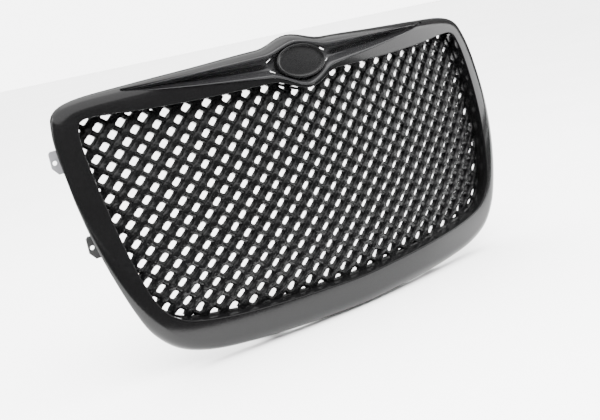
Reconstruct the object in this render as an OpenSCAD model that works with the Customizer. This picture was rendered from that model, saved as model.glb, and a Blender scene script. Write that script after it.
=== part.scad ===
// Moulded car grille: bowed surround, diamond mesh insert, emblem recess and fixing brackets.
// +X is the viewer's right facing the front, the front faces -Y, +Z is up.
// The origin is midway between the two inner upper fixing holes, on top of their brackets.

/* [Overall] */
// Width over the surround
grille_w = 780; // [700:1:900]
// Height of the surround without the crest over the emblem seat
grille_h = 420; // [370:1:480]
// Radius of the bow seen from above
plan_radius = 1460; // [1200:10:2200]
// Radius of the bow seen from the side
side_radius = 952; // [800:1:1500]
// How far the most forward height lies below the middle of the mesh
bow_drop = 157; // [80:1:200]

/* [Opening] */
// Width of the opening in the surround
opening_w = 714; // [640:1:716]
// Height of the opening in the surround
opening_h = 318; // [270:1:320]
// Height of the opening's middle above the middle of the mesh
opening_rise = 2; // [-4:0.5:4]

/* [Surround] */
// Wall thickness of the moulding
wall = 3.2; // [2.4:0.1:3.6]
// Front face's height above the mesh's middle surface
face_d = 25; // [22:0.5:30]
// How far the skirt reaches behind the mesh's middle surface
skirt_back = 0.5; // [0:0.5:3]
// Inward draft of the skirt at its back edge, on the sides
skirt_draft = 8; // [6:0.5:9]
// Share of that draft on the top and bottom
draft_share = 0.4; // [0.25:0.05:0.6]
// Height of the crest in the top edge
crest_h = 13; // [8:0.5:16]
// Half width of the crest and of the dip under it
crest_half_w = 62; // [50:1:70]
// Depth of the dip in the opening's top edge
dip_h = 19; // [14:0.5:20]

/* [Mesh] */
// Distance between two holes in a row
mesh_pitch_x = 32.4; // [28:0.1:40]
// Distance between two rows of holes in one column
mesh_pitch_z = 27.9; // [24:0.1:34]
// Width of a mesh bar
mesh_bar = 6; // [5:0.1:8]
// Depth of the mesh, front to back
mesh_t = 8; // [6:0.1:9]
// Width of the flange around the mesh
flange_w = 12; // [11:0.5:14]

/* [Emblem recess] */
// Distance from the middle to each tip of the recess
recess_half_w = 284; // [250:1:290]
// Height of the recess floor above the mesh's middle surface
floor_d = 15; // [14:0.5:17]
// Thickness of the recess floor
floor_t = 3; // [2:0.1:3]
// Width of the raised rim around the recess
rim_w = 4.5; // [3:0.1:6]
// How far the rim stands proud of the surround's face
rim_proud = 1.6; // [1.2:0.1:2.5]
// Gap between the recess moulding and the surround
recess_gap = 0.5; // [0.3:0.1:0.8]
// Height of each flute ridge above the floor
flute_h = 4.5; // [2:0.1:6]
// Number of flute ridges on each side
flute_count = 3; // [2:1:4]

/* [Emblem seat] */
// Height of the seat's middle above the middle of the mesh
seat_z = 180.5; // [179:0.5:182]
// Width of the seat over its collar
seat_w = 88; // [80:1:90]
// Height of the seat over its collar
seat_h = 55; // [50:1:56]
// Width of the collar's ring
collar_w = 4; // [3:0.1:6]
// Height of the collar
collar_h = 11; // [8:0.1:13]
// Thickness of the seat plate
plate_t = 3; // [2:0.1:4]
// Depth of the seat plate below the top of the collar
plate_sink = 3.5; // [2:0.1:6]
// Distance between the seat's two screws
seat_screw_spacing = 44; // [36:1:50]
// Length of each slot beside the seat
slot_l = 11; // [8:0.1:14]
// Width of each slot beside the seat
slot_w = 2.4; // [1.6:0.1:3.2]

/* [Screws] */
// Diameter of a screw's shank
screw_d = 3.8; // [3:0.1:4.2]
// Diameter of a screw's head
head_d = 8; // [7:0.1:9]
// Height of a screw's head
head_h = 2.6; // [2:0.1:3]
// Radial gap between a screw and its pilot bore
pilot_gap = 0.05; // [0.02:0.01:0.1]
// Radial gap between a screw and the piece it clamps
clear_gap = 0.5; // [0.3:0.1:0.8]
// Diameter of a screw boss
boss_d = 9; // [8:0.1:10]
// How far a screw reaches into its boss
screw_bite = 8; // [6:0.5:9]

/* [Brackets] */
// Thickness of the bracket sheet
bracket_t = 2.5; // [1.5:0.1:3]
// Diameter of every fixing hole for the car
fixing_d = 6.6; // [5:0.1:7]
// Distance from the middle to the inner upper fixings
top_inner_x = 95; // [85:1:110]
// Distance from the middle to the outer upper fixings
top_outer_x = 190; // [175:1:205]
// Height of the upper brackets' screws above the middle of the mesh
top_screw_z = 190; // [188:0.5:191]
// Height of the upper brackets' top face above the middle of the mesh
top_fixing_z = 198; // [197:0.5:198.5]
// Width of an upper bracket
top_bracket_w = 24; // [20:0.5:26]
// Rearward reach of an upper or lower bracket
bracket_reach = 32; // [26:1:40]
// Height of the upper side brackets above the middle of the mesh
side_upper_z = 118; // [108:1:124]
// Height of the lower side brackets above the middle of the mesh
side_lower_z = -5; // [-12:1:6]
// Height of a side bracket
side_bracket_h = 34; // [32:1:40]
// Distance of a side fixing hole inside the surround's outer edge
side_fixing_in = 3; // [0:0.5:4]
// Distance between the two screws of a side or lower bracket
pair_spacing = 20; // [18:0.5:22]
// Distance from the middle to a lower bracket
bottom_x = 150; // [140:1:170]
// Width of a lower bracket
bottom_bracket_w = 40; // [36:1:46]

/* [Hidden] */

gloss = [0.05, 0.05, 0.055];
steel = [0.62, 0.63, 0.65];
zinc = [0.75, 0.75, 0.72];

// Right half of the surround's outline, as shares of its half width and half height,
// from the middle of the top edge to the middle of the bottom edge.
outer_shape = [[0, 1], [0.203, 0.995], [0.427, 0.975], [0.68, 0.955], [0.88, 0.93],
    [0.967, 0.87], [0.993, 0.75], [1, 0.6], [0.998, 0.45], [0.993, 0.26], [0.977, 0.02],
    [0.948, -0.24], [0.907, -0.5], [0.86, -0.69], [0.78, -0.84], [0.662, -0.92],
    [0.508, -0.955], [0.345, -0.975], [0.173, -0.99], [0, -1]];
// Right half of the opening's outline in the same order, point for point.
opening_shape = [[0, 1], [0.2, 1], [0.45, 1.005], [0.7, 1.025], [0.9, 1.06],
    [0.975, 1.04], [0.996, 0.93], [1, 0.77], [0.997, 0.58], [0.989, 0.33], [0.975, 0.05],
    [0.952, -0.26], [0.919, -0.55], [0.88, -0.72], [0.82, -0.83], [0.73, -0.89],
    [0.59, -0.935], [0.4, -0.965], [0.2, -0.985], [0, -1]];
outline_steps = 4;
outer_rise = 3;

mesh_half = mesh_t / 2;
screw_r = screw_d / 2;
pilot_r = screw_r + pilot_gap;
clear_r = screw_r + clear_gap;
boss_r = boss_d / 2;
fixing_r = fixing_d / 2;
pad_r = clear_r + 3.6;
// A pad's flat ends stand this far beyond the slanted mesh around them.
pad_extra = 2.5;
// Gap between the lip's back edge and the mesh flange.
seat_gap = 0.4;
// Distance of the mesh screws outside the opening's edge.
screw_inset = 9.5;
// Distance of the bracket screws outside the opening's edge.
bracket_inset = 22;
side_inset = 17;
// Points of the outline that carry mesh screws, counted from the middle of the top edge.
top_screw_points = [2, 3];
side_screw_points = [6, 9, 11];
bottom_screw_points = [14, 16, 18];

// The bowed skin: y of the point at x, z on the surface d in front of the mesh's middle.
function skin_r(z, d) =
    plan_radius - side_radius + sqrt(pow(side_radius + d, 2) - pow(z + bow_drop, 2));
function skin_y(x, z, d) = let (r = skin_r(z, d)) plan_radius - sqrt(r * r - x * x);

function full(half) =
    concat(half, [for (i = [len(half) - 2 : -1 : 1]) [-half[i][0], half[i][1]]]);
function curve(a, b, c, d, t) = 0.5 * (2 * b + (c - a) * t
    + (2 * a - 5 * b + 4 * c - d) * t * t + (3 * b - a - 3 * c + d) * t * t * t);
function rounded(p, steps) = let (n = len(p)) [for (i = [0 : n - 1]) for (j = [0 : steps - 1])
    curve(p[(i + n - 1) % n], p[i], p[(i + 1) % n], p[(i + 2) % n], j / steps)];
function swell(x, half_w) = abs(x) < half_w ? (1 + cos(180 * x / half_w)) / 2 : 0;
function unit(v) = v / norm(v);

outer_half = [for (p = outer_shape) [p[0] * grille_w / 2, p[1] * grille_h / 2 + outer_rise]];
opening_half = [for (p = opening_shape)
    [p[0] * opening_w / 2, p[1] * opening_h / 2 + opening_rise]];
outer = [for (p = rounded(full(outer_half), outline_steps))
    [p[0], p[1] + (p[1] > 0 ? crest_h * swell(p[0], crest_half_w) : 0)]];
opening = [for (p = rounded(full(opening_half), outline_steps))
    [p[0], p[1] - (p[1] > 0 ? dip_h * swell(p[0], crest_half_w) : 0)]];
stations = len(outer);

// A point of the rail at station i, a outside the opening's edge, or b inside the outer edge.
function from_lip(i, a) = opening[i] + a * unit(outer[i] - opening[i]);
function from_edge(i, b) = outer[i] - b * unit(outer[i] - opening[i]);
function sideways(i) = pow(unit(outer[i] - opening[i])[0], 2);
function draft(i) = skirt_draft * (draft_share + (1 - draft_share) * sideways(i));
// The outer edge rolls back less on the sides than on the top and bottom.
function roll(i) = 1 - 0.6 * sideways(i);
function rail_point(k, a) = from_lip(k * outline_steps, a);

// Top and bottom edges of the emblem recess on the right, from the middle to the tip.
recess_steps = 40;
tip_z = 197;
function recess_top(x) = let (t = abs(x) / recess_half_w)
    tip_z + 8 * pow(1 - t, 0.9) + 11 * swell(x, crest_half_w);
function recess_bottom(x) = let (t = abs(x) / recess_half_w)
    tip_z - 35 * pow(1 - t, 0.8) - 17 * swell(x, crest_half_w);
function recess_outline(in) = let (reach = recess_half_w - 3 * in) concat(
    [for (i = [-recess_steps : recess_steps]) let (x = reach * i / recess_steps)
        [x, recess_top(x) - in * (1 - 0.7 * pow(abs(i) / recess_steps, 6))]],
    [for (i = [recess_steps - 1 : -1 : 1 - recess_steps]) let (x = reach * i / recess_steps)
        [x, recess_bottom(x) + in * (1 - 0.7 * pow(abs(i) / recess_steps, 6))]]);
function ellipse(w, h) = [for (a = [0 : 6 : 354]) [cos(a) * w / 2, sin(a) * h / 2]];

// Extrudes a front view shape, drawn as x and z, from y0 back to y1.
module prism(y0, y1) {
    translate([0, y1, 0])
        rotate([90, 0, 0])
            linear_extrude(y1 - y0)
                children();
}

// The layer of the bowed skin between d0 and d1 in front of the mesh's middle surface.
band_angle = 36;
module band(d0, d1) {
    translate([0, plan_radius, 0])
        rotate([0, 0, -90 - band_angle / 2])
            rotate_extrude(angle = band_angle, $fn = 360)
                intersection() {
                    translate([plan_radius - side_radius, -bow_drop])
                        difference() {
                            circle(side_radius + d1, $fn = 360);
                            circle(side_radius + d0, $fn = 360);
                        }
                    translate([plan_radius - 160, -grille_h * 0.6])
                        square([260, grille_h * 1.2]);
                }
}

module on_skin(d0, d1) {
    intersection() {
        band(d0, d1);
        prism(-60, 220) children();
    }
}

module post(x, z, r, y0, y1) {
    translate([x, y0, z])
        rotate([-90, 0, 0])
            cylinder(h = y1 - y0, r = r, $fn = 32);
}

// Screw boss along Y from its flat back end at y to the tangent plane of the skin at d.
module boss(p, d, y) {
    r = skin_r(p[1], d);
    intersection() {
        post(p[0], p[1], boss_r, skin_y(p[0], p[1], d) - 6, y);
        translate([p[0], skin_y(p[0], p[1], d), p[1]])
            rotate([-asin((p[1] + bow_drop) / (side_radius + d)), 0, asin(p[0] / r)])
                translate([-20, 0, -20])
                    cube([40, 60, 40]);
    }
}

// Pan head screw along Y with its bearing face at y and its shank reaching forward.
module screw(x, z, y, length) {
    recess = head_h / 2;
    difference() {
        union() {
            post(x, z, screw_r, y - length, y + head_h / 2);
            post(x, z, head_d / 2, y, y + head_h);
        }
        for (a = [0, 90])
            translate([x, y + head_h, z])
                rotate([0, a, 0])
                    cube([head_d * 0.55, 2 * recess, 1], center = true);
    }
}

// Flat front and back of the pad around a mesh screw.
function pad_front(p) = skin_y(p[0], p[1], mesh_half) - pad_extra;
function pad_back(p) = skin_y(p[0], p[1], -mesh_half) + pad_extra;

function mirrored(points) = concat(points, [for (p = points) [-p[0], p[1]]]);
top_points = mirrored([for (k = top_screw_points) rail_point(k, screw_inset)]);
bottom_points = mirrored([for (k = bottom_screw_points) rail_point(k, screw_inset)]);
right_points = [for (k = side_screw_points) rail_point(k, screw_inset)];
left_points = [for (p = right_points) [-p[0], p[1]]];
mesh_points = concat(top_points, bottom_points, right_points, left_points);
housing_points = mirrored([[top_inner_x, top_screw_z], [top_outer_x, top_screw_z]]);

// The rail's edge and lip at height z on the right hand side.
function side_x(list, z) = lookup(z, [for (i = [len(list) * 6 / 40 : len(list) / 2 - 1])
    [list[i][1], list[i][0]]]);
function side_screw_x(z) = side_x(opening, z) + side_inset;
function side_fixing_x(z) = side_x(outer, z) - side_fixing_in;
// Front plane of a side or lower bracket: this far behind the skirt's back edge.
bracket_gap = 8.5;
function side_plane(z) = skin_y(side_x(outer, z) - skirt_draft + 1, z + side_bracket_h / 2,
    -skirt_back) + bracket_gap;
bottom_point = rail_point(17, bracket_inset);
bottom_plane = skin_y(bottom_x + bottom_bracket_w / 2, -bow_drop, -skirt_back) + bracket_gap;
bottom_z = bottom_point[1];

function side_pair(zc) = [for (s = [-1, 1])
    let (z = zc + s * pair_spacing / 2) [side_screw_x(z), z]];
bottom_pairs = [for (s = [-1, 1]) [bottom_x + s * pair_spacing / 2, bottom_z]];

// The rail's closed section, one point per entry: what the distance is measured from (0 the
// lip, 1 the outer edge, 2 the skirt's drafted back edge), that distance, the height d
// before the rolled edge is taken off it, and the full roll taken off.
lip_back = mesh_half + seat_gap;
section = [[0, 0, lip_back, 0], [0, 0, face_d - 1.6, 0], [0, 0.6, face_d - 0.4, 0],
    [0, 1.8, face_d, 0], [1, 15, face_d, 0.2], [1, 8, face_d, 2.4], [1, 3, face_d, 6.5],
    [1, 0.6, face_d, 11], [1, 0, face_d, 15], [2, 0, -skirt_back, 0],
    [2, wall, -skirt_back, 0], [1, wall, face_d - 0.5, 15],
    [1, 8, face_d - wall * 1.3, 2.4], [1, 15, face_d - wall, 0.2],
    [0, wall, face_d - wall, 0], [0, wall, lip_back, 0]];

module rail_ring() {
    k = len(section);
    points = [for (i = [0 : stations - 1]) for (s = section)
        let (p = s[0] == 0 ? from_lip(i, s[1])
            : from_edge(i, s[1] + (s[0] == 2 ? draft(i) : 0)))
            [p[0], skin_y(p[0], p[1], s[2] - s[3] * roll(i)), p[1]]];
    faces = [for (i = [0 : stations - 1]) for (j = [0 : k - 1])
        let (a = i * k + j, b = i * k + (j + 1) % k, n = ((i + 1) % stations) * k)
            for (f = [[a, b, n + (j + 1) % k], [a, n + (j + 1) % k, n + j]]) f];
    polyhedron(points, faces, convexity = 6);
}

module surround() {
    color(gloss) placed() difference() {
        union() {
            rail_ring();
            for (p = mesh_points)
                boss(p, face_d - wall / 2, pad_front(p));
            for (zc = [side_upper_z, side_lower_z])
                for (p = mirrored(side_pair(zc)))
                    boss(p, face_d - 3, side_plane(zc));
            for (p = mirrored(bottom_pairs))
                boss(p, face_d - wall / 2, bottom_plane);
        }
        prism(-60, 220) polygon(recess_outline(0));
        for (p = mesh_points)
            post(p[0], p[1], pilot_r, pad_front(p) - screw_bite - 1, pad_front(p) + 1);
        for (zc = [side_upper_z, side_lower_z])
            for (p = mirrored(side_pair(zc)))
                post(p[0], p[1], pilot_r, side_plane(zc) - screw_bite - 1, side_plane(zc) + 1);
        for (p = mirrored(bottom_pairs))
            post(p[0], p[1], pilot_r, bottom_plane - screw_bite - 1, bottom_plane + 1);
    }
}

// One hole of the mesh.
bar_gap = mesh_pitch_x * mesh_pitch_z / 2 / norm([mesh_pitch_x, mesh_pitch_z]);
hole_share = 1 - mesh_bar / (2 * bar_gap);
module mesh_holes() {
    columns = ceil(opening_w / mesh_pitch_x);
    rows = ceil(opening_h / mesh_pitch_z);
    for (i = [-columns : columns])
        for (j = [-rows : rows])
            if ((i + j) % 2 != 0)
                let (x = plan_radius * sin(i * mesh_pitch_x / 2 / plan_radius * 180 / PI),
                    z = j * mesh_pitch_z / 2)
                    if (abs(x) < opening_w / 2 && abs(z) < opening_h * 0.56)
                        translate([x, z])
                            polygon([[mesh_pitch_x, 0], [0, mesh_pitch_z],
                                [-mesh_pitch_x, 0], [0, -mesh_pitch_z]] * hole_share / 2);
}

mesh_border = 2;
module mesh_insert() {
    color(gloss) placed() difference() {
        union() {
            on_skin(-mesh_half, mesh_half)
                difference() {
                    union() {
                        polygon([for (i = [0 : stations - 1]) from_lip(i, flange_w)]);
                        for (p = housing_points)
                            translate([p[0] - pad_r, p[1] - 30])
                                square([2 * pad_r, 30]);
                    }
                    intersection() {
                        polygon([for (i = [0 : stations - 1]) from_lip(i, -mesh_border)]);
                        mesh_holes();
                    }
                }
            for (p = concat(mesh_points, housing_points))
                post(p[0], p[1], pad_r, pad_front(p), pad_back(p));
        }
        for (p = concat(mesh_points, housing_points))
            post(p[0], p[1], clear_r, pad_front(p) - 1, pad_back(p) + 1);
    }
}

// Places a piece drawn around the emblem seat's middle, facing along -Y, on the recess floor.
seat_lean = asin((seat_z + bow_drop) / (side_radius + floor_d));
seat_lift = 0.3;
module at_seat() {
    translate([0, skin_y(0, seat_z, floor_d), seat_z])
        rotate([-seat_lean, 0, 0])
            translate([0, -seat_lift, 0])
                children();
}

module flutes() {
    start = seat_w / 2 + 14;
    finish = recess_half_w - 34;
    for (side = [-1, 1])
        for (k = [1 : flute_count])
            let (f = k / (flute_count + 1),
                z0 = recess_bottom(start) * (1 - f) + recess_top(start) * f,
                z1 = recess_bottom(finish) * (1 - f) + recess_top(finish) * f)
                polygon([[side * start, z0 - 1.8], [side * finish, z1 - 0.6],
                    [side * finish, z1 + 0.6], [side * start, z0 + 1.8]]);
}

module slots() {
    for (sx = [-1, 1])
        for (sz = [-1, 1])
            translate([sx * (seat_w / 2 + 6), seat_z + sz * 9])
                rotate(-sx * sz * 30)
                    square([slot_l, slot_w], center = true);
}

seat_boss_r = boss_r + 0.6;
module wing_housing() {
    color(gloss) placed() difference() {
        union() {
            on_skin(floor_d - floor_t, floor_d)
                polygon(recess_outline(recess_gap + rim_w / 2));
            on_skin(floor_d - floor_t - 1, face_d + rim_proud)
                difference() {
                    polygon(recess_outline(recess_gap));
                    polygon(recess_outline(recess_gap + rim_w));
                }
            on_skin(floor_d - floor_t / 2, floor_d + flute_h)
                flutes();
            for (p = housing_points)
                boss(p, floor_d - floor_t / 2, pad_front(p));
        }
        prism(-60, 220) slots();
        for (p = housing_points)
            post(p[0], p[1], pilot_r, pad_front(p) - screw_bite, pad_front(p) + 1);
        at_seat()
            for (s = [-1, 1])
                post(s * seat_screw_spacing / 2, 0, seat_boss_r, -10, 10);
    }
}

seat_boss_l = floor_t - 0.5;
module emblem_seat() {
    plate_front = collar_h - plate_sink;
    color(gloss) placed() at_seat() difference() {
        union() {
            prism(-collar_h, 0)
                difference() {
                    polygon(ellipse(seat_w, seat_h));
                    polygon(ellipse(seat_w - 2 * collar_w, seat_h - 2 * collar_w));
                }
            prism(-plate_front, plate_t - plate_front)
                polygon(ellipse(seat_w - collar_w, seat_h - collar_w));
            for (s = [-1, 1])
                post(s * seat_screw_spacing / 2, 0, boss_r, -plate_front + 1, seat_boss_l);
        }
        for (s = [-1, 1])
            post(s * seat_screw_spacing / 2, 0, pilot_r, 1.5 - plate_front, seat_boss_l + 1);
    }
}

module mesh_screw_group(points) {
    color(zinc) placed()
        for (p = points)
            screw(p[0], p[1], pad_back(p), pad_back(p) - pad_front(p) + screw_bite);
}
module mesh_screws_top() mesh_screw_group(top_points);
module mesh_screws_bottom() mesh_screw_group(bottom_points);
module mesh_screws_left() mesh_screw_group(left_points);
module mesh_screws_right() mesh_screw_group(right_points);

module housing_screws() {
    color(zinc) placed()
        for (p = housing_points)
            screw(p[0], p[1], pad_back(p) + bracket_t,
                pad_back(p) + bracket_t - pad_front(p) + screw_bite - 1);
}

module seat_screws() {
    bearing = floor_t + 0.7;
    color(zinc) placed() at_seat()
        for (s = [-1, 1])
            screw(s * seat_screw_spacing / 2, 0, bearing, 7);
}

// Angle bracket: an upright leg with screw holes and a level leg with one fixing hole.
// The upright leg's front face is at y0 and the level leg lies between z1 and z1 + bracket_t.
module angle_bracket(xc, y0, width, z0, z1, holes, level_z) {
    hole_y = y0 + bracket_reach - 12;
    difference() {
        union() {
            translate([xc - width / 2, y0, z0])
                cube([width, bracket_t, z1 - z0]);
            translate([xc - width / 2, y0, level_z])
                cube([width, bracket_reach, bracket_t]);
        }
        for (h = holes)
            post(h[0], h[1], clear_r, y0 - 1, y0 + bracket_t + 1);
        translate([xc, hole_y, level_z - 1])
            cylinder(h = bracket_t + 2, r = fixing_r, $fn = 40);
    }
}

module top_bracket(x) {
    y0 = pad_back([abs(x), top_screw_z]);
    color(steel) placed()
        angle_bracket(x, y0, top_bracket_w, top_screw_z - 10, top_fixing_z,
            [[x, top_screw_z]], top_fixing_z - bracket_t);
}
module top_bracket_left_outer() top_bracket(-top_outer_x);
module top_bracket_left_inner() top_bracket(-top_inner_x);
module top_bracket_right_inner() top_bracket(top_inner_x);
module top_bracket_right_outer() top_bracket(top_outer_x);

module bottom_bracket(x) {
    color(steel) placed()
        angle_bracket(x, bottom_plane, bottom_bracket_w, bottom_z - 12, bottom_z + 10,
            [for (s = [-1, 1]) [x + s * pair_spacing / 2, bottom_z]], bottom_z - 12);
}
module bottom_bracket_left() bottom_bracket(-bottom_x);
module bottom_bracket_right() bottom_bracket(bottom_x);

module bottom_bracket_screws() {
    color(zinc) placed()
        for (p = mirrored(bottom_pairs))
            screw(p[0], p[1], bottom_plane + bracket_t, bracket_t + screw_bite);
}

// Flat side bracket behind the rail, with its fixing hole outside the surround's edge.
module side_bracket(side, zc) {
    y0 = side_plane(zc);
    x_in = side_screw_x(zc) - 8;
    x_out = side_fixing_x(zc) + 6;
    low = zc - side_bracket_h / 2;
    high = zc + side_bracket_h / 2;
    color(steel) placed() mirror([side < 0 ? 1 : 0, 0, 0]) difference() {
        prism(y0, y0 + bracket_t)
            polygon([[x_in, low], [x_out - 8, low], [x_out, low + 10],
                [x_out, high - 3], [x_out - 3, high], [x_in, high]]);
        for (p = side_pair(zc))
            post(p[0], p[1], clear_r, y0 - 1, y0 + bracket_t + 1);
        post(side_fixing_x(zc), zc, fixing_r, y0 - 1, y0 + bracket_t + 1);
    }
}
module side_bracket_left_upper() side_bracket(-1, side_upper_z);
module side_bracket_left_lower() side_bracket(-1, side_lower_z);
module side_bracket_right_upper() side_bracket(1, side_upper_z);
module side_bracket_right_lower() side_bracket(1, side_lower_z);

module side_bracket_screws() {
    color(zinc) placed()
        for (zc = [side_upper_z, side_lower_z])
            for (p = mirrored(side_pair(zc)))
                screw(p[0], p[1], side_plane(zc) + bracket_t, bracket_t + screw_bite);
}

// Moves the grille so that the inner upper fixing holes' midpoint is at the origin.
fixing_y = pad_back([top_inner_x, top_screw_z]) + bracket_reach - 12;
module placed() {
    translate([0, -fixing_y, -top_fixing_z])
        children();
}

surround();
mesh_insert();
wing_housing();
emblem_seat();
mesh_screws_top();
mesh_screws_bottom();
mesh_screws_left();
mesh_screws_right();
housing_screws();
seat_screws();
top_bracket_left_outer();
top_bracket_left_inner();
top_bracket_right_inner();
top_bracket_right_outer();
side_bracket_left_upper();
side_bracket_left_lower();
side_bracket_right_upper();
side_bracket_right_lower();
side_bracket_screws();
bottom_bracket_left();
bottom_bracket_right();
bottom_bracket_screws();
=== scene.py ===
import math

import bpy
from mathutils import Matrix, Vector


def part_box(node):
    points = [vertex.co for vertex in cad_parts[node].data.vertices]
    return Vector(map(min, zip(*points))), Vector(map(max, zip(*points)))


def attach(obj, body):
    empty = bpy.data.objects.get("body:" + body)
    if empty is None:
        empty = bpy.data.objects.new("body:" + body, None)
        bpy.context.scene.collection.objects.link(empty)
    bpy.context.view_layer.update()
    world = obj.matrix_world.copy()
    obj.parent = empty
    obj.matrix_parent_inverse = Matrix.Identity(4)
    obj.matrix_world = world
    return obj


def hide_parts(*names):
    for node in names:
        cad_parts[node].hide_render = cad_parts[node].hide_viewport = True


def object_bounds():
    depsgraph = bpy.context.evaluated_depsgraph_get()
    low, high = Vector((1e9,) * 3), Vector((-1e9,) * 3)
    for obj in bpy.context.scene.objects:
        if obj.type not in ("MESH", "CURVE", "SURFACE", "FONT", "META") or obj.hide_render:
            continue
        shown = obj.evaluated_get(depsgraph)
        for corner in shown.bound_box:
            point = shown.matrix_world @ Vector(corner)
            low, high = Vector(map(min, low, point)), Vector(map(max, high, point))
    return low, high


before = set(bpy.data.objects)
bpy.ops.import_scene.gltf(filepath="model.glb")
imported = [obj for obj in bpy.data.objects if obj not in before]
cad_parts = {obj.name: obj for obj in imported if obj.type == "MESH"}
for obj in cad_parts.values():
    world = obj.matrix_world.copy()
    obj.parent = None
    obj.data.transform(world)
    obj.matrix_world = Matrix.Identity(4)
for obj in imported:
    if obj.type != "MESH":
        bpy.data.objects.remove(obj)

cad_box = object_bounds()
MM = 0.001

# ---------------------------------------------------------------- sizes, in millimetres
# The front view is drawn in x and z about the middle of the mesh. d is the height in front
# of the mesh's middle surface, which is bowed both ways.
GRILLE_W, GRILLE_H, OUTER_RISE = 780.0, 420.0, 3.0
PLAN_RADIUS, SIDE_RADIUS, BOW_DROP = 1460.0, 952.0, 157.0
OPENING_W, OPENING_H, OPENING_RISE = 714.0, 318.0, 2.0
CREST_H, CREST_HALF_W, DIP_H = 13.0, 62.0, 19.0
WALL, FACE_D, SKIRT_BACK, SKIRT_DRAFT, DRAFT_SHARE = 3.2, 25.0, 0.5, 8.0, 0.4
MESH_PITCH_X, MESH_PITCH_Z, MESH_HALF = 32.4, 27.9, 4.0
FLANGE_W, LIP_BACK, PAD_EXTRA, PAD_R = 12.0, 4.4, 2.5, 6.0
RECESS_HALF_W, TIP_Z, FLOOR_D, FLOOR_T = 284.0, 197.0, 15.0, 3.0
RIM_PROUD, RECESS_GAP, RECESS_SEAM = 1.6, 0.5, 0.1
SEAT_Z, SEAT_W, SEAT_H, COLLAR_W, COLLAR_H = 180.5, 88.0, 55.0, 4.0, 11.0
PLATE_SINK, SEAT_LIFT = 3.5, 0.3
TOP_INNER_X, TOP_OUTER_X, TOP_SCREW_Z, TOP_FIXING_Z = 95.0, 190.0, 190.0, 198.0
SCREW_R, BOSS_R, SCREW_INSET, BRACKET_INSET, SIDE_INSET = 1.9, 4.5, 9.5, 22.0, 17.0
BORE_R, BRACKET_SCREW_STEP, SEAT_SCREW_X = SCREW_R + 0.05, 10.0, 22.0

OUTER_SHAPE = [(0, 1), (0.203, 0.995), (0.427, 0.975), (0.68, 0.955), (0.88, 0.93),
               (0.967, 0.87), (0.993, 0.75), (1, 0.6), (0.998, 0.45), (0.993, 0.26),
               (0.977, 0.02), (0.948, -0.24), (0.907, -0.5), (0.86, -0.69), (0.78, -0.84),
               (0.662, -0.92), (0.508, -0.955), (0.345, -0.975), (0.173, -0.99), (0, -1)]
OPENING_SHAPE = [(0, 1), (0.2, 1), (0.45, 1.005), (0.7, 1.025), (0.9, 1.06),
                 (0.975, 1.04), (0.996, 0.93), (1, 0.77), (0.997, 0.58), (0.989, 0.33),
                 (0.975, 0.05), (0.952, -0.26), (0.919, -0.55), (0.88, -0.72), (0.82, -0.83),
                 (0.73, -0.89), (0.59, -0.935), (0.4, -0.965), (0.2, -0.985), (0, -1)]
STEPS = 8
# The first outline point that belongs to the side.
SIDE_START = 6


def skin_y(x, z, d):
    r = PLAN_RADIUS - SIDE_RADIUS + math.sqrt((SIDE_RADIUS + d) ** 2 - (z + BOW_DROP) ** 2)
    return PLAN_RADIUS - math.sqrt(r * r - x * x)


def flat_back(x, z):
    """Bearing plane behind a screw pad."""
    return skin_y(x, z, -MESH_HALF) + PAD_EXTRA


def flat_front(x, z):
    return skin_y(x, z, MESH_HALF) - PAD_EXTRA


ORIGIN_Y = flat_back(TOP_INNER_X, TOP_SCREW_Z) + 20.0


def place(x, y, z):
    """Front view millimetres to the part's frame, in metres."""
    return Vector((x * MM, (y - ORIGIN_Y) * MM, (z - TOP_FIXING_Z) * MM))


def on_skin(x, z, d):
    return place(x, skin_y(x, z, d), z)


def swell(x, half_w):
    return (1 + math.cos(math.pi * x / half_w)) / 2 if abs(x) < half_w else 0.0


def full(half):
    return half + [(-x, z) for x, z in half[-2:0:-1]]


def rounded(p, steps):
    out, n = [], len(p)
    for i in range(n):
        a, b, c, e = p[i - 1], p[i], p[(i + 1) % n], p[(i + 2) % n]
        for j in range(steps):
            t = j / steps
            out.append(tuple(0.5 * (2 * b[k] + (c[k] - a[k]) * t
                                    + (2 * a[k] - 5 * b[k] + 4 * c[k] - e[k]) * t * t
                                    + (3 * b[k] - a[k] - 3 * c[k] + e[k]) * t ** 3)
                             for k in (0, 1)))
    return out


OUTER = [(x, z + (CREST_H * swell(x, CREST_HALF_W) if z > 0 else 0)) for x, z in rounded(
    full([(x * GRILLE_W / 2, z * GRILLE_H / 2 + OUTER_RISE) for x, z in OUTER_SHAPE]), STEPS)]
OPENING = [(x, z - (DIP_H * swell(x, CREST_HALF_W) if z > 0 else 0)) for x, z in rounded(
    full([(x * OPENING_W / 2, z * OPENING_H / 2 + OPENING_RISE)
          for x, z in OPENING_SHAPE]), STEPS)]


def toward(p, q, distance):
    length = math.dist(p, q)
    return tuple(a + (b - a) * distance / length for a, b in zip(p, q))


def from_lip(i, a):
    return toward(OPENING[i], OUTER[i], a)


def from_edge(i, b):
    return toward(OUTER[i], OPENING[i], b)


def recess_top(x):
    t = min(abs(x) / RECESS_HALF_W, 1)
    return TIP_Z + 8 * (1 - t) ** 0.9 + 11 * swell(x, CREST_HALF_W)


def recess_bottom(x):
    t = min(abs(x) / RECESS_HALF_W, 1)
    return TIP_Z - 35 * (1 - t) ** 0.8 - 17 * swell(x, CREST_HALF_W)


# ---------------------------------------------------------------- modelling helpers
def deselect():
    if bpy.context.mode != "OBJECT":
        bpy.ops.object.mode_set(mode="OBJECT")
    bpy.ops.object.select_all(action="DESELECT")


def activate(obj):
    deselect()
    obj.select_set(True)
    bpy.context.view_layer.objects.active = obj


def edit(obj, *steps):
    """Runs edit mode operators on everything that is selected in obj's mesh."""
    activate(obj)
    bpy.ops.object.mode_set(mode="EDIT")
    for step, settings in steps:
        step(**settings)
    bpy.ops.object.mode_set(mode="OBJECT")


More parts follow.
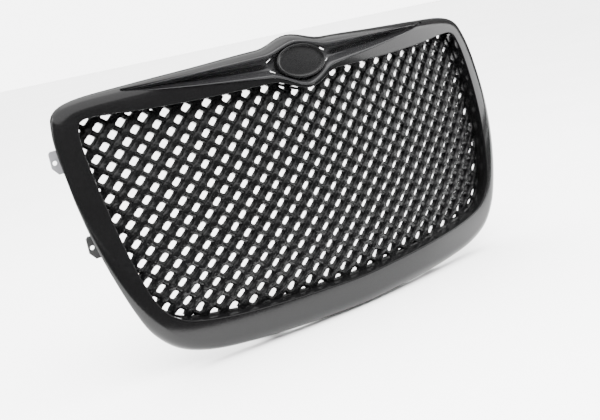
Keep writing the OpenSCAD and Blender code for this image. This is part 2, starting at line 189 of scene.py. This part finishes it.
ALL = (bpy.ops.mesh.select_all, {"action": "SELECT"})
NONE = (bpy.ops.mesh.select_all, {"action": "DESELECT"})
MERGE = (bpy.ops.mesh.remove_doubles, {"threshold": 0.00002})
OUTWARD = (bpy.ops.mesh.normals_make_consistent, {"inside": False})


def ring(name, points):
    """A circle primitive whose corners are moved to points, remembering each corner's station."""
    deselect()
    bpy.ops.mesh.primitive_circle_add(vertices=len(points), radius=0.1)
    obj = bpy.context.object
    obj.name = obj.data.name = name
    station = obj.data.attributes.new("station", "INT", "POINT")
    for i, (vertex, p) in enumerate(zip(obj.data.vertices, points)):
        vertex.co = p
        station.data[i].value = i
    return obj


def grow(obj, points):
    """Extrudes the selected loop, then puts each new corner at its station's place."""
    edit(obj, (bpy.ops.mesh.extrude_edges_move, {}))
    station = obj.data.attributes["station"].data
    for vertex in obj.data.vertices:
        if vertex.select:
            vertex.co = points[station[vertex.index].value]


def loft(name, loops, closed=True):
    """One smooth sweep through loops of equal length; closed joins the last to the first."""
    obj = ring(name, loops[0])
    for points in loops[1:] + ([loops[0]] if closed else []):
        grow(obj, points)
    edit(obj, ALL, MERGE, OUTWARD)
    return obj


def apply(obj, kind, **settings):
    activate(obj)
    modifier = obj.modifiers.new(kind.title(), kind)
    for key, value in settings.items():
        setattr(modifier, key, value)
    bpy.ops.object.modifier_apply(modifier=modifier.name)


def cut(obj, cutter):
    apply(obj, "BOOLEAN", object=cutter, operation="DIFFERENCE", solver="EXACT")
    bpy.data.objects.remove(cutter)


def smooth(obj, degrees=32):
    activate(obj)
    bpy.ops.object.shade_smooth_by_angle(angle=math.radians(degrees))


def join(name, objects):
    activate(objects[0])
    for obj in objects[1:]:
        obj.select_set(True)
    bpy.ops.object.join()
    objects[0].name = objects[0].data.name = name
    return objects[0]


def finish_piece(obj, material, slot, *nodes):
    activate(obj)
    bpy.ops.object.transform_apply(location=True, rotation=True, scale=True)
    obj.data.materials.clear()
    obj.data.materials.append(material)
    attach(obj, "root")
    if nodes:
        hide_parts(*nodes)
    return obj


# ---------------------------------------------------------------- material helpers
class Value:
    """A socket that takes part in arithmetic, each operation adding one Math node."""

    def __init__(self, finish, socket):
        self.finish, self.socket = finish, socket

    def math(self, operation, other=None, swapped=False):
        pair = [self] if other is None else [other, self] if swapped else [self, other]
        return self.finish.node("ShaderNodeMath", {"operation": operation},
                                dict(enumerate(pair)))

    def __add__(self, other): return self.math("ADD", other)
    def __radd__(self, other): return self.math("ADD", other)
    def __sub__(self, other): return self.math("SUBTRACT", other)
    def __rsub__(self, other): return self.math("SUBTRACT", other, True)
    def __mul__(self, other): return self.math("MULTIPLY", other)
    def __rmul__(self, other): return self.math("MULTIPLY", other)
    def __pow__(self, other): return self.math("POWER", other)


class Finish:
    """A material under construction."""

    def __init__(self, name, **shader):
        self.material = bpy.data.materials.new(name)
        self.material.use_nodes = True
        self.tree = self.material.node_tree
        self.shader = self.tree.nodes["Principled BSDF"]
        for key, value in shader.items():
            self.shader.inputs[key.replace("_", " ")].default_value = value
        self.coords = self.node("ShaderNodeTexCoord", {}, {}, "Object")

    def node(self, kind, settings, values, output=0):
        node = self.tree.nodes.new(kind)
        for key, value in settings.items():
            if key == "stops":
                for element, (position, colour) in zip(node.color_ramp.elements, value):
                    element.position, element.color = position, colour
            else:
                setattr(node, key, value)
        for key, value in values.items():
            if isinstance(value, Value):
                self.tree.links.new(value.socket, node.inputs[key])
            else:
                node.inputs[key].default_value = value
        return Value(self, node.outputs[output])

    def noise(self, scale, detail=3.0, roughness=0.55):
        return self.node("ShaderNodeTexNoise", {}, {"Vector": self.coords, "Scale": scale,
                         "Detail": detail, "Roughness": roughness})

    def blend(self, factor, first, second):
        return self.node("ShaderNodeMix", {"data_type": "RGBA"},
                         {"Factor": factor, 6: first, 7: second}, 2)

    def feed(self, **links):
        for key, value in links.items():
            self.tree.links.new(value.socket, self.shader.inputs[key.replace("_", " ")])
        return self

    def bump(self, height, strength, distance):
        return self.feed(Normal=self.node("ShaderNodeBump", {}, {
            "Height": height, "Strength": strength, "Distance": distance}))


def gloss_black(name, tone, peel, roughness, grain=0.0004):
    """Sprayed gloss black: faint orange peel, faint haze that wanders, fine dust."""
    f = Finish(name, Specular_IOR_Level=0.26, Coat_Weight=0.05, Coat_Roughness=0.05)
    haze = f.noise(9.0)
    dust = f.noise(900.0, 1.0) ** 6
    dark = (tone, tone, tone * 1.06, 1)
    lighter = (tone * 1.7, tone * 1.7, tone * 1.75, 1)
    f.feed(Base_Color=f.blend(haze, dark, lighter),
           Roughness=haze * 0.08 + dust * 0.5 + roughness)
    return f.bump(f.noise(260.0, 2.0) + f.noise(60.0, 1.0) * 0.6, peel, grain).material


def satin_paint(name, tone, tint=0.0):
    """Sprayed pressing: fine grit, rubbed lighter in patches."""
    f = Finish(name, Specular_IOR_Level=0.5)
    worn = f.noise(40.0, 4.0)
    f.feed(Base_Color=f.blend(worn, (tone, tone, tone + tint, 1),
                              (tone * 1.35, tone * 1.35, tone * 1.38 + tint, 1)),
           Roughness=worn * 0.25 + 0.32)
    return f.bump(f.noise(700.0, 2.0), 0.25, 0.0003).material


def zinc_plate(name):
    """Bright zinc with a faint straw tint and turning marks."""
    f = Finish(name, Metallic=1.0)
    cloud = f.noise(220.0, 3.0)
    f.feed(Base_Color=f.blend(cloud, (0.62, 0.60, 0.52, 1), (0.72, 0.73, 0.74, 1)),
           Roughness=cloud * 0.2 + 0.22)
    return f.bump(f.noise(1500.0, 2.0), 0.2, 0.0002).material


SURROUND_GLOSS = gloss_black("surround_gloss_black", 0.0022, 0.10, 0.10)
MESH_GLOSS = gloss_black("mesh_gloss_black", 0.0016, 1.0, 0.12, 0.0016)
# The recess's black is given a lighter tone than the surround's. This is painted light that
# stands in for the light the shallow recess catches.
RECESS_GLOSS_PAINTED_LIGHT = gloss_black("recess_gloss_black_painted_light", 0.009, 0.05, 0.16)
SEAT_GLOSS = gloss_black("seat_gloss_black", 0.0026, 0.05, 0.22)
GREY_PAINT = satin_paint("grey_paint", 0.2, 0.01)
BLACK_PAINT = satin_paint("black_paint", 0.03)
ZINC = zinc_plate("zinc_plate")


# ---------------------------------------------------------------- surround
def sideways(i):
    """How far the rail at station i runs along a side, from 0 (top, bottom) to 1."""
    return ((OUTER[i][0] - OPENING[i][0]) / math.dist(OUTER[i], OPENING[i])) ** 2


def draft(i):
    return SKIRT_DRAFT * (DRAFT_SHARE + (1 - DRAFT_SHARE) * sideways(i))


def roll(i):
    """The outer edge rolls back less on the sides than on the top and bottom."""
    return 1 - 0.6 * sideways(i)


# Each entry: what the distance is measured from (0 the lip, 1 the outer edge, 2 the skirt's
# drafted back edge), that distance, the height d, and how much of it a full roll takes off.
SECTION = [(0, 0, LIP_BACK, 0), (0, 0, 12, 0), (0, 0, FACE_D - 2.0, 0),
           (0, 0.15, FACE_D - 1.2, 0), (0, 0.6, FACE_D - 0.5, 0), (0, 1.2, FACE_D - 0.12, 0),
           (0, 2.2, FACE_D, 0), (1, 18, FACE_D, 0), (1, 15, FACE_D, 0.15),
           (1, 11.5, FACE_D, 0.9), (1, 8.5, FACE_D, 2.1), (1, 6, FACE_D, 3.7),
           (1, 4, FACE_D, 5.6), (1, 2.4, FACE_D, 7.8), (1, 1.2, FACE_D, 10.2),
           (1, 0.4, FACE_D, 12.7), (1, 0.05, FACE_D, 15), (2, -0.3, 0.8 - SKIRT_BACK, 0),
           (2, 0.5, -SKIRT_BACK, 0), (2, WALL - 0.4, -SKIRT_BACK, 0),
           (2, WALL, 0.6 - SKIRT_BACK, 0), (1, WALL, FACE_D - 0.5, 15),
           (1, 8, FACE_D - WALL * 1.3, 2.4), (1, 15, FACE_D - WALL, 0.2),
           (0, WALL, FACE_D - WALL, 0), (0, WALL, LIP_BACK, 0)]


def section_loop(entry):
    datum, distance, d, rolled = entry
    loop = []
    for i in range(len(OUTER)):
        if datum == 0:
            x, z = from_lip(i, distance)
        else:
            x, z = from_edge(i, distance + (draft(i) if datum == 2 else 0))
        loop.append(on_skin(x, z, d - rolled * roll(i)))
    return loop


def prism(name, outline, y0, y1):
    obj = loft(name, [[place(x, y0, z) for x, z in outline],
                      [place(x, y1, z) for x, z in outline]], closed=False)
    edit(obj, NONE, (bpy.ops.mesh.select_non_manifold, {}),
         (bpy.ops.mesh.edge_face_add, {}), ALL, OUTWARD)
    return obj


def recess_outline(inset, columns=60):
    reach = RECESS_HALF_W - 3 * inset
    xs = [reach * i / columns for i in range(-columns, columns + 1)]
    ease = [inset * (1 - 0.7 * (abs(x) / reach) ** 6) for x in xs]
    top = [(x, recess_top(x) - e) for x, e in zip(xs, ease)]
    bottom = [(x, recess_bottom(x) + e) for x, e in zip(xs, ease)]
    return top + bottom[-2:0:-1]


shell = loft("surround_shell", [section_loop(entry) for entry in SECTION])
cut(shell, prism("recess_cutter", recess_outline(RECESS_GAP - RECESS_SEAM), -60, 200))
smooth(shell, 40)
finish_piece(shell, SURROUND_GLOSS, "surround_gloss", "surround")


def mirrored(points):
    return points + [(-x, z) for x, z in points]


def rail_point(k, a):
    return from_lip(k * STEPS, a)


def side_x(outline, z):
    """x of the right hand side of an outline at height z."""
    half = outline[SIDE_START * STEPS:len(outline) // 2]
    for (x0, z0), (x1, z1) in zip(half, half[1:]):
        if z1 <= z <= z0:
            return x0 + (x1 - x0) * (z0 - z) / (z0 - z1)


TOP_POINTS = mirrored([rail_point(k, SCREW_INSET) for k in (2, 3)])
BOTTOM_POINTS = mirrored([rail_point(k, SCREW_INSET) for k in (14, 16, 18)])
SIDE_POINTS = mirrored([rail_point(k, SCREW_INSET) for k in (6, 9, 11)])
HOUSING_POINTS = mirrored([(TOP_INNER_X, TOP_SCREW_Z), (TOP_OUTER_X, TOP_SCREW_Z)])
MESH_POINTS = TOP_POINTS + BOTTOM_POINTS + SIDE_POINTS


TUBE_ANGLES = [2 * math.pi * k / 24 for k in range(24)]


def tube(x, z, outer_r, inner_r, y_front, y_back):
    """A boss or pad: a short tube along Y with a softened back edge."""
    def loop(r, y):
        return [place(x + r * math.cos(a), y, z + r * math.sin(a))
                for a in TUBE_ANGLES]
    return loft("tube", [loop(outer_r, y_front), loop(outer_r, y_back - 0.5),
                         loop(outer_r - 0.5, y_back), loop(inner_r + 0.3, y_back),
                         loop(inner_r, y_back - 0.3), loop(inner_r, y_front)])


def face_boss(x, z, depth, bury, y_back):
    """A screw boss that starts inside the face and runs back to y_back."""
    return tube(x, z, BOSS_R, BORE_R, skin_y(x, z, FACE_D - depth) + bury, y_back)


bosses = []
for x, z in MESH_POINTS:
    bosses.append(face_boss(x, z, 1.6, 0.6, flat_front(x, z)))
SIDE_BRACKETS = ("side_bracket_left_upper", "side_bracket_left_lower",
                 "side_bracket_right_upper", "side_bracket_right_lower")
for name in SIDE_BRACKETS:
    low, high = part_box(name)
    side = 1 if "right" in name else -1
    z_mid = (low[2] + high[2]) / 2 / MM + TOP_FIXING_Z
    plane = low[1] / MM + ORIGIN_Y
    for z in (z_mid - BRACKET_SCREW_STEP, z_mid + BRACKET_SCREW_STEP):
        x = side * (side_x(OPENING, z) + SIDE_INSET)
        bosses.append(face_boss(x, z, 3.0, 0.8, plane))
for name in ("bottom_bracket_left", "bottom_bracket_right"):
    low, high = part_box(name)
    plane = low[1] / MM + ORIGIN_Y
    x_mid = (low[0] + high[0]) / 2 / MM
    z = rail_point(17, BRACKET_INSET)[1]
    for x in (x_mid - BRACKET_SCREW_STEP, x_mid + BRACKET_SCREW_STEP):
        bosses.append(face_boss(x, z, 1.6, 0.6, plane))
bosses = join("surround_bosses", bosses)
smooth(bosses)
finish_piece(bosses, SURROUND_GLOSS, "surround_gloss", "surround")


# ---------------------------------------------------------------- mesh insert
def flange_loops():
    rows = [(-2.6, -3.2), (-2.6, 2.4), (-1.8, 3.4), (-0.8, 3.9), (FLANGE_W - 0.4, 3.9),
            (FLANGE_W, 3.4), (FLANGE_W, -3.4), (FLANGE_W - 0.4, -3.9), (-1.8, -3.9)]
    return [[on_skin(*from_lip(i, a), d) for i in range(len(OPENING))] for a, d in rows]


flange = loft("mesh_flange", flange_loops())
pads = [tube(x, z, PAD_R, SCREW_R + 0.5, flat_front(x, z), flat_back(x, z))
        for x, z in MESH_POINTS + HOUSING_POINTS]


EAR_DROP, EAR_H, EAR_HALF_T = 13.0, 24.0, 3.8


def ear(x0):
    """Tab of the flange that reaches up to a recess screw."""
    deselect()
    bpy.ops.mesh.primitive_cube_add(size=1)
    obj = bpy.context.object
    edit(obj, (bpy.ops.mesh.subdivide, {"number_cuts": 3}))
    for v in obj.data.vertices:
        x = x0 + v.co.x * 2 * PAD_R
        z = TOP_SCREW_Z - EAR_DROP + v.co.z * EAR_H
        v.co = on_skin(x, z, EAR_HALF_T * (-2 * v.co.y))
    return obj


ears = [ear(x) for x, z in HOUSING_POINTS]
flange = join("mesh_flange", [flange] + pads + ears)
smooth(flange)
finish_piece(flange, MESH_GLOSS, "mesh_gloss", "mesh_insert")

# One crossing of the mesh: the raised bar and the bar that passes under it.
HALF_X, HALF_Z = MESH_PITCH_X / 4, MESH_PITCH_Z / 4
ARM = math.hypot(HALF_X, HALF_Z)
KNOT_HALF = 0.6
KNOT_STATIONS, PLAIN_STATIONS = (-1, -KNOT_HALF, -0.42, 0, 0.42, KNOT_HALF, 1), (-1, 0, 1)
BAR_BACK, BAR_FRONT, FLUSH_D = -8.0, 6.4, 3.9
# Across a bar: share of the half width, then height d from the back over the front.
ROUND_BAR = [(-1, BAR_BACK), (-1, 3.6), (-0.8, 4.7), (-0.3, 5.1), (0.3, 5.1), (0.8, 4.7),
             (1, 3.6), (1, BAR_BACK)]
RIDGED_BAR = [(-1, BAR_BACK), (-1, 1.3), (-0.6, 2.6), (-0.1, 3.8), (0.1, 3.8), (0.6, 2.6),
              (1, 1.3), (1, BAR_BACK)]
ROUND_HALF_W, RIDGED_HALF_W, KNOT_SWELL, KNOT_RISE = 4.6, 4.1, 1.2, 1.3


def bar(profile, half_w, lean, stations, swell_w, rise):
    """Half a pitch of bar each way from a crossing, thicker and higher at the crossing."""
    ux, uz = HALF_X / ARM, lean * HALF_Z / ARM
    rows = []
    for s in stations:
        knot = max(1 - (s / KNOT_HALF) ** 2, 0) ** 0.5
        width = half_w + swell_w * knot
        rows.append([Vector((ux * s * ARM - uz * u * width, uz * s * ARM + ux * u * width,
                             d + (rise * knot if d > 0 else 0))) for u, d in profile])
    return loft("bar", rows, closed=False)


def crossing_piece():
    """A round bar rising to the right that knots over a ridged bar falling to the right."""
    obj = join("crossing", [
        bar(ROUND_BAR, ROUND_HALF_W, 1, KNOT_STATIONS, KNOT_SWELL, KNOT_RISE),
        bar(RIDGED_BAR, RIDGED_HALF_W, -1, PLAIN_STATIONS, 0, 0)])
    edit(obj, ALL, OUTWARD)
    return obj


def inside(x, z, outline):
    """True if a front view point lies inside a closed outline."""
    count = 0
    for (x0, z0), (x1, z1) in zip(outline, outline[1:] + outline[:1]):
        if (z0 > z) != (z1 > z) and x < x0 + (x1 - x0) * (z - z0) / (z1 - z0):
            count += 1
    return count % 2 == 1


COLUMNS_OUT, ROWS_OUT, BORDER_IN = 24, 13, 6
border = [from_lip(i, BORDER_IN) for i in range(len(OPENING))]
pattern = crossing_piece()
crossings = []
for i in range(-COLUMNS_OUT, COLUMNS_OUT + 1):
    for j in range(-ROWS_OUT, ROWS_OUT + 1):
        x, z = i * MESH_PITCH_X / 2, j * MESH_PITCH_Z / 2
        if (i + j) % 2 == 0 and inside(PLAN_RADIUS * math.sin(x / PLAN_RADIUS), z, border):
            copy = pattern.copy()
            copy.data = copy.data.copy()
            bpy.context.scene.collection.objects.link(copy)
            copy.location = (x, z, 0)
            crossings.append(copy)
bpy.data.objects.remove(pattern)
bpy.context.view_layer.update()
weave = join("mesh_weave", crossings)
activate(weave)
bpy.ops.object.transform_apply(location=True, rotation=True, scale=True)
edit(weave, ALL, (bpy.ops.mesh.remove_doubles, {"threshold": 0.02}))
# The cut ends of the outermost bars are closed.
edit(weave, NONE, (bpy.ops.mesh.select_non_manifold, {}),
     (bpy.ops.mesh.fill_holes, {"sides": len(ROUND_BAR)}), NONE)
# Bars flatten as they come near the lip. The lip's edge is looked up in whole millimetres.
LOOK_X, LOOK_Z, LOOK_BAND, FLAT_AT_LIP, FLATTEN_OVER = 400, 200, 9, 9, 6
reach_up, reach_down = [[pick((z for x, z in OPENING if abs(abs(x) - k) < LOOK_BAND), default=0)
                         for k in range(LOOK_X)] for pick in (max, min)]
reach_out = [max((x for x, z in OPENING if abs(z - k) < LOOK_BAND), default=0)
             for k in range(-LOOK_Z, LOOK_Z)]
for v in weave.data.vertices:
    x, z, d = PLAN_RADIUS * math.sin(v.co.x / PLAN_RADIUS), v.co.y, v.co.z
    column = min(int(abs(x)), LOOK_X - 1)
    room = min(reach_up[column] - z, z - reach_down[column],
               reach_out[int(z) + LOOK_Z] - abs(x)) - FLAT_AT_LIP
    share = min(max(room / FLATTEN_OVER, 0), 1)
    v.co = on_skin(x, z, min(max(d, (BAR_BACK + FLUSH_D) * share - FLUSH_D),
                             (BAR_FRONT - FLUSH_D) * share + FLUSH_D))
smooth(weave, 50)
finish_piece(weave, MESH_GLOSS, "mesh_gloss", "mesh_insert")


# ---------------------------------------------------------------- emblem recess
COLUMNS = 236
RIM_TOP = FACE_D + RIM_PROUD
RIM_ROWS = [(0, FLOOR_D - FLOOR_T - 0.5), (0, FACE_D + 0.2), (0.25, FACE_D + 0.9),
            (0.8, RIM_TOP - 0.2), (1.5, RIM_TOP), (2.4, RIM_TOP), (3.2, RIM_TOP - 0.3),
            (4.2, RIM_TOP - 1.2), (5.6, RIM_TOP - 3.0), (7.2, RIM_TOP - 5.4),
            (9, RIM_TOP - 7.8), (11, RIM_TOP - 9.7), (13.2, FLOOR_D + 0.9), (15.5, FLOOR_D + 0.2)]
RIM_CREST, FLOOR_ROWS = 5, 28
# The tips sink with the surround's rolled edge.
TIP_SINK, SINK_START = 5.4, 232.0
FLUTES_START, FLUTES_RISE, FLUTES_END = SEAT_W / 2 + 12, 14.0, RECESS_HALF_W - 16
FLUTE_RISE, FLUTE_FADE, FLUTES = 2.6, 90.0, 3
# Half heights below which the rim draws in, and the recess grows shallow.
RIM_FULL, DEPTH_FULL = 18.5, 12.0


def flute_height(x, v):
    """Height of the fluted floor at a share v of the way from the bottom rim to the top rim."""
    along = abs(x)
    if along < FLUTES_START:
        return 0.0
    rise = min((along - FLUTES_START) / FLUTES_RISE, 1) ** 0.5
    fade = min(max((FLUTES_END - along) / FLUTE_FADE, 0), 1)
    return FLUTE_RISE * rise * fade * abs(math.sin(FLUTES * math.pi * v))


def recess_column(x):
    """Bottom wall and rim, concave floor, top rim and wall, growing shallow toward the tips."""
    bottom, top = recess_bottom(x), recess_top(x)
    half = (top - bottom) / 2
    squeeze, depth = min(1.0, half / RIM_FULL), min(1.0, half / DEPTH_FULL) ** 0.8
    low = bottom + (RECESS_GAP + RIM_ROWS[-1][0]) * squeeze
    high = top - (RECESS_GAP + RIM_ROWS[-1][0]) * squeeze
    rim = [(RECESS_GAP + inset) * squeeze for inset, d in RIM_ROWS]
    sink = TIP_SINK * max((abs(x) - SINK_START) / (RECESS_HALF_W - SINK_START), 0) ** 1.5
    rise = [d if k == 0 else d - sink if k < RIM_CREST
            else RIM_TOP - (RIM_TOP - d) * depth - sink
            for k, (inset, d) in enumerate(RIM_ROWS)]
    column = [(x, bottom + inset, d) for inset, d in zip(rim, rise)]
    for k in range(1, FLOOR_ROWS):
        v = k / FLOOR_ROWS
        floor = RIM_TOP - (RIM_TOP - FLOOR_D - flute_height(x, v)) * depth
        column.append((x, low + (high - low) * v, floor - sink))
    return column + [(x, top - inset, d) for inset, d in zip(rim[::-1], rise[::-1])]


deselect()
rows_up = len(recess_column(0))
bpy.ops.mesh.primitive_grid_add(x_subdivisions=COLUMNS, y_subdivisions=rows_up - 1, size=1)
recess = bpy.context.object
recess.name = recess.data.name = "emblem_recess"
reach = RECESS_HALF_W - 3 * RECESS_GAP
columns = [recess_column(-reach + 2 * reach * i / COLUMNS) for i in range(COLUMNS + 1)]
for v in recess.data.vertices:
    i = round((v.co.x + 0.5) * COLUMNS)
    j = round((v.co.y + 0.5) * (rows_up - 1))
    v.co = on_skin(*columns[i][j])
edit(recess, ALL, OUTWARD)
if sum(p.normal.y for p in recess.data.polygons) > 0:
    edit(recess, ALL, (bpy.ops.mesh.flip_normals, {}))
apply(recess, "SOLIDIFY", thickness=FLOOR_T * MM, offset=-1, use_even_offset=False)


SLOT_L, SLOT_W, SLOT_TILT, SLOT_OUT, SLOT_RISE, SLOT_UP = 11.0, 1.9, 30.0, 6.0, 9.0, 4.0


def slot_cutter(sx, sz):
    deselect()
    bpy.ops.mesh.primitive_cube_add(size=1)
    obj = bpy.context.object
    for v in obj.data.vertices:
        v.co.x *= SLOT_L * MM
        v.co.y *= 60 * MM
        v.co.z *= SLOT_W * MM
    edit(obj, ALL, (bpy.ops.mesh.bevel, {"offset": 0.0008, "segments": 2}))
    x, z = sx * (SEAT_W / 2 + SLOT_OUT), SEAT_Z + SLOT_UP + sz * SLOT_RISE
    turn = Matrix.Rotation(math.radians(sx * sz * SLOT_TILT), 4, "Y")
    obj.data.transform(Matrix.Translation(on_skin(x, z, FLOOR_D)) @ turn)
    return obj


for sx in (-1, 1):
    for sz in (-1, 1):
        cut(recess, slot_cutter(sx, sz))
recess_bosses = [tube(x, z, BOSS_R, BORE_R, skin_y(x, z, FLOOR_D - 1.5) + 0.4,
                      flat_front(x, z)) for x, z in HOUSING_POINTS]

# ---------------------------------------------------------------- emblem seat
SEAT_LEAN = math.asin((SEAT_Z + BOW_DROP) / (SIDE_RADIUS + FLOOR_D))
PLATE_TOP = COLLAR_H - PLATE_SINK
OVAL_SIDES = 96
SEAT_ROWS = [(0, 0), (0, COLLAR_H - 2.2), (0.3, COLLAR_H - 1.1), (0.9, COLLAR_H - 0.35),
             (1.7, COLLAR_H), (COLLAR_W - 1.7, COLLAR_H), (COLLAR_W - 0.9, COLLAR_H - 0.3),
             (COLLAR_W - 0.3, COLLAR_H - 1.0), (COLLAR_W, COLLAR_H - 1.9),
             (COLLAR_W + 0.3, PLATE_TOP + 0.5), (COLLAR_W + 1.0, PLATE_TOP + 0.1),
             (COLLAR_W + 3, PLATE_TOP), (COLLAR_W + 8, PLATE_TOP + 0.15),
             (COLLAR_W + 14, PLATE_TOP + 0.3)]


def oval(inset, height):
    points = []
    for k in range(OVAL_SIDES):
        a = 2 * math.pi * k / OVAL_SIDES
        x = math.cos(a) * (SEAT_W / 2 - inset)
        z = math.sin(a) * (SEAT_H / 2 - inset)
        points.append(Vector((x * MM, -height * MM, z * MM)))
    return points


seat = loft("emblem_seat_dish", [oval(i, h) for i, h in SEAT_ROWS], closed=False)
edit(seat, NONE, (bpy.ops.mesh.select_non_manifold, {}), (bpy.ops.mesh.fill_holes, {"sides": 0}),
     ALL, OUTWARD)
seat_place = Matrix.Translation(on_skin(0, SEAT_Z, FLOOR_D)) @ Matrix.Rotation(
    -SEAT_LEAN, 4, "X") @ Matrix.Translation((0, -SEAT_LIFT * MM, 0))


def seat_tube(x, outer_r, inner_r, y_front, y_back):
    """A tube along the seat's own axis, drawn about the seat's middle."""
    def loop(r, y):
        return [Vector(((x + r * math.cos(a)) * MM, y * MM, r * math.sin(a) * MM))
                for a in TUBE_ANGLES]
    loops = [loop(outer_r, y_front), loop(outer_r, y_back)]
    if inner_r:
        return loft("tube", loops + [loop(inner_r, y_back), loop(inner_r, y_front)])
    obj = loft("tube", loops, closed=False)
    edit(obj, NONE, (bpy.ops.mesh.select_non_manifold, {}), (bpy.ops.mesh.edge_face_add, {}),
         ALL, OUTWARD)
    return obj


for x in (-SEAT_SCREW_X, SEAT_SCREW_X):
    hole = seat_tube(x, BOSS_R + 0.6, 0, -10, 10)
    hole.data.transform(seat_place)
    cut(recess, hole)
seat = join("emblem_seat_dish", [seat] + [seat_tube(x, BOSS_R, BORE_R, 0.2, 2.5)
                                          for x in (-SEAT_SCREW_X, SEAT_SCREW_X)])
seat.data.transform(seat_place)
smooth(seat, 34)
finish_piece(seat, SEAT_GLOSS, "seat_gloss", "emblem_seat")
recess = join("emblem_recess", [recess] + recess_bosses)
smooth(recess, 34)
# The recess wears the lighter black, which is its painted light.
finish_piece(recess, RECESS_GLOSS_PAINTED_LIGHT, "housing_gloss", "wing_housing")

# ---------------------------------------------------------------- brackets and screws
for name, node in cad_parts.items():
    if "screws" in name:
        material = ZINC
    elif name in ("side_bracket_left_upper", "side_bracket_right_upper"):
        material = GREY_PAINT
    elif "bracket" in name:
        material = BLACK_PAINT
    else:
        continue
    node.data.materials.clear()
    node.data.materials.append(material)
    smooth(node, 30)

# ---------------------------------------------------------------- stage, light and camera
floor_finish = Finish("pale_floor", Specular_IOR_Level=0.4)
floor_mottle = floor_finish.noise(3.0, 2.0)
floor_finish.feed(Base_Color=floor_finish.blend(floor_mottle, (0.93, 0.93, 0.93, 1),
                                                (0.96, 0.96, 0.96, 1)),
                  Roughness=floor_mottle * 0.05 + 0.22)
deselect()
bpy.ops.mesh.primitive_plane_add(size=30, location=(0, 0, cad_box[0].z - 0.0005))
floor = bpy.context.object
floor.name = "floor"
floor.data.materials.append(floor_finish.material)

# The world is dim for the part and bright for the camera alone.
WORLD_FILL, BACKDROP = 0.35, 6.4
world = bpy.data.worlds.new("studio")
bpy.context.scene.world = world
world.use_nodes = True
background = world.node_tree.nodes["Background"]
path = world.node_tree.nodes.new("ShaderNodeLightPath")
strength = world.node_tree.nodes.new("ShaderNodeMapRange")
strength.inputs["To Min"].default_value = WORLD_FILL
strength.inputs["To Max"].default_value = BACKDROP
world.node_tree.links.new(path.outputs["Is Camera Ray"], strength.inputs["Value"])
world.node_tree.links.new(strength.outputs["Result"], background.inputs["Strength"])
background.inputs["Color"].default_value = (1, 1, 1, 1)

# Each softbox: name, place, aim, width, height, power.
SOFTBOXES = [("top_softbox", (0.1, 0.2, 1.9), (0, 0.0, -0.1), 1.8, 0.7, 6),
             ("right_softbox", (1.9, -0.8, 0.55), (0, 0.0, -0.2), 1.2, 1.4, 34),
             ("left_strip", (-1.6, 0.3, 0.5), (-0.3, 0, -0.2), 0.25, 1.2, 8)]
OVERHEAD_POWER, SHEEN_POWER, SUN_SPREAD = 26.0, 6.0, math.radians(100)


def lamp(name, kind, power):
    light = bpy.data.lights.new(name, kind)
    light.energy = power
    holder = bpy.data.objects.new(name, light)
    bpy.context.scene.collection.objects.link(holder)
    return light, holder


for name, location, target, width, height, power in SOFTBOXES:
    light, holder = lamp(name, "AREA", power)
    light.shape, light.size, light.size_y = "RECTANGLE", width, height
    holder.location = location
    aim = Vector(target) - Vector(location)
    holder.rotation_euler = aim.to_track_quat("-Z", "Y").to_euler()

# One broad light for the floor's brightness, and one for the sheen on the gloss.
light, holder = lamp("overhead", "SUN", OVERHEAD_POWER)
light.angle, holder.visible_glossy = SUN_SPREAD, False
light, holder = lamp("sheen", "SUN", SHEEN_POWER)
light.angle, holder.visible_diffuse = SUN_SPREAD, False

# A dark card on the floor in front, seen only in the gloss, as a studio uses.
CARD_SIZE, CARD_EDGE_Y = 12.0, -0.3
card_finish = Finish("dark_card", Roughness=0.9)
card_finish.feed(Base_Color=card_finish.blend(card_finish.noise(4.0), (0.01, 0.01, 0.01, 1),
                                              (0.02, 0.02, 0.02, 1)))
deselect()
bpy.ops.mesh.primitive_plane_add(size=CARD_SIZE, location=(0, CARD_EDGE_Y - CARD_SIZE / 2,
                                                           cad_box[0].z + 0.001))
card = bpy.context.object
card.name = "dark_card"
card.data.materials.append(card_finish.material)
card.visible_camera = card.visible_diffuse = card.visible_shadow = False

# The camera stands high on the part's left and leans over to its side.
CAMERA_PLACE = (-721.6, -1066.0, 262.0)
azimuth, drop, roll_angle = math.radians(31.2), math.radians(13.2), math.radians(11.0)
camera_data = bpy.data.cameras.new("camera")
camera_data.sensor_width, camera_data.lens = 36.0, 50.9
camera_data.clip_end = 50.0
camera = bpy.data.objects.new("camera", camera_data)
bpy.context.scene.collection.objects.link(camera)
bpy.context.scene.camera = camera
ahead = Vector((math.sin(azimuth) * math.cos(drop), math.cos(azimuth) * math.cos(drop),
                -math.sin(drop)))
right = ahead.cross(Vector((0, 0, 1))).normalized()
upright = right.cross(ahead)
up = upright * math.cos(roll_angle) + right * math.sin(roll_angle)
side = ahead.cross(up)
turn = Matrix((side, up, -ahead)).transposed().to_4x4()
camera.matrix_world = Matrix.Translation(place(*CAMERA_PLACE)) @ turn
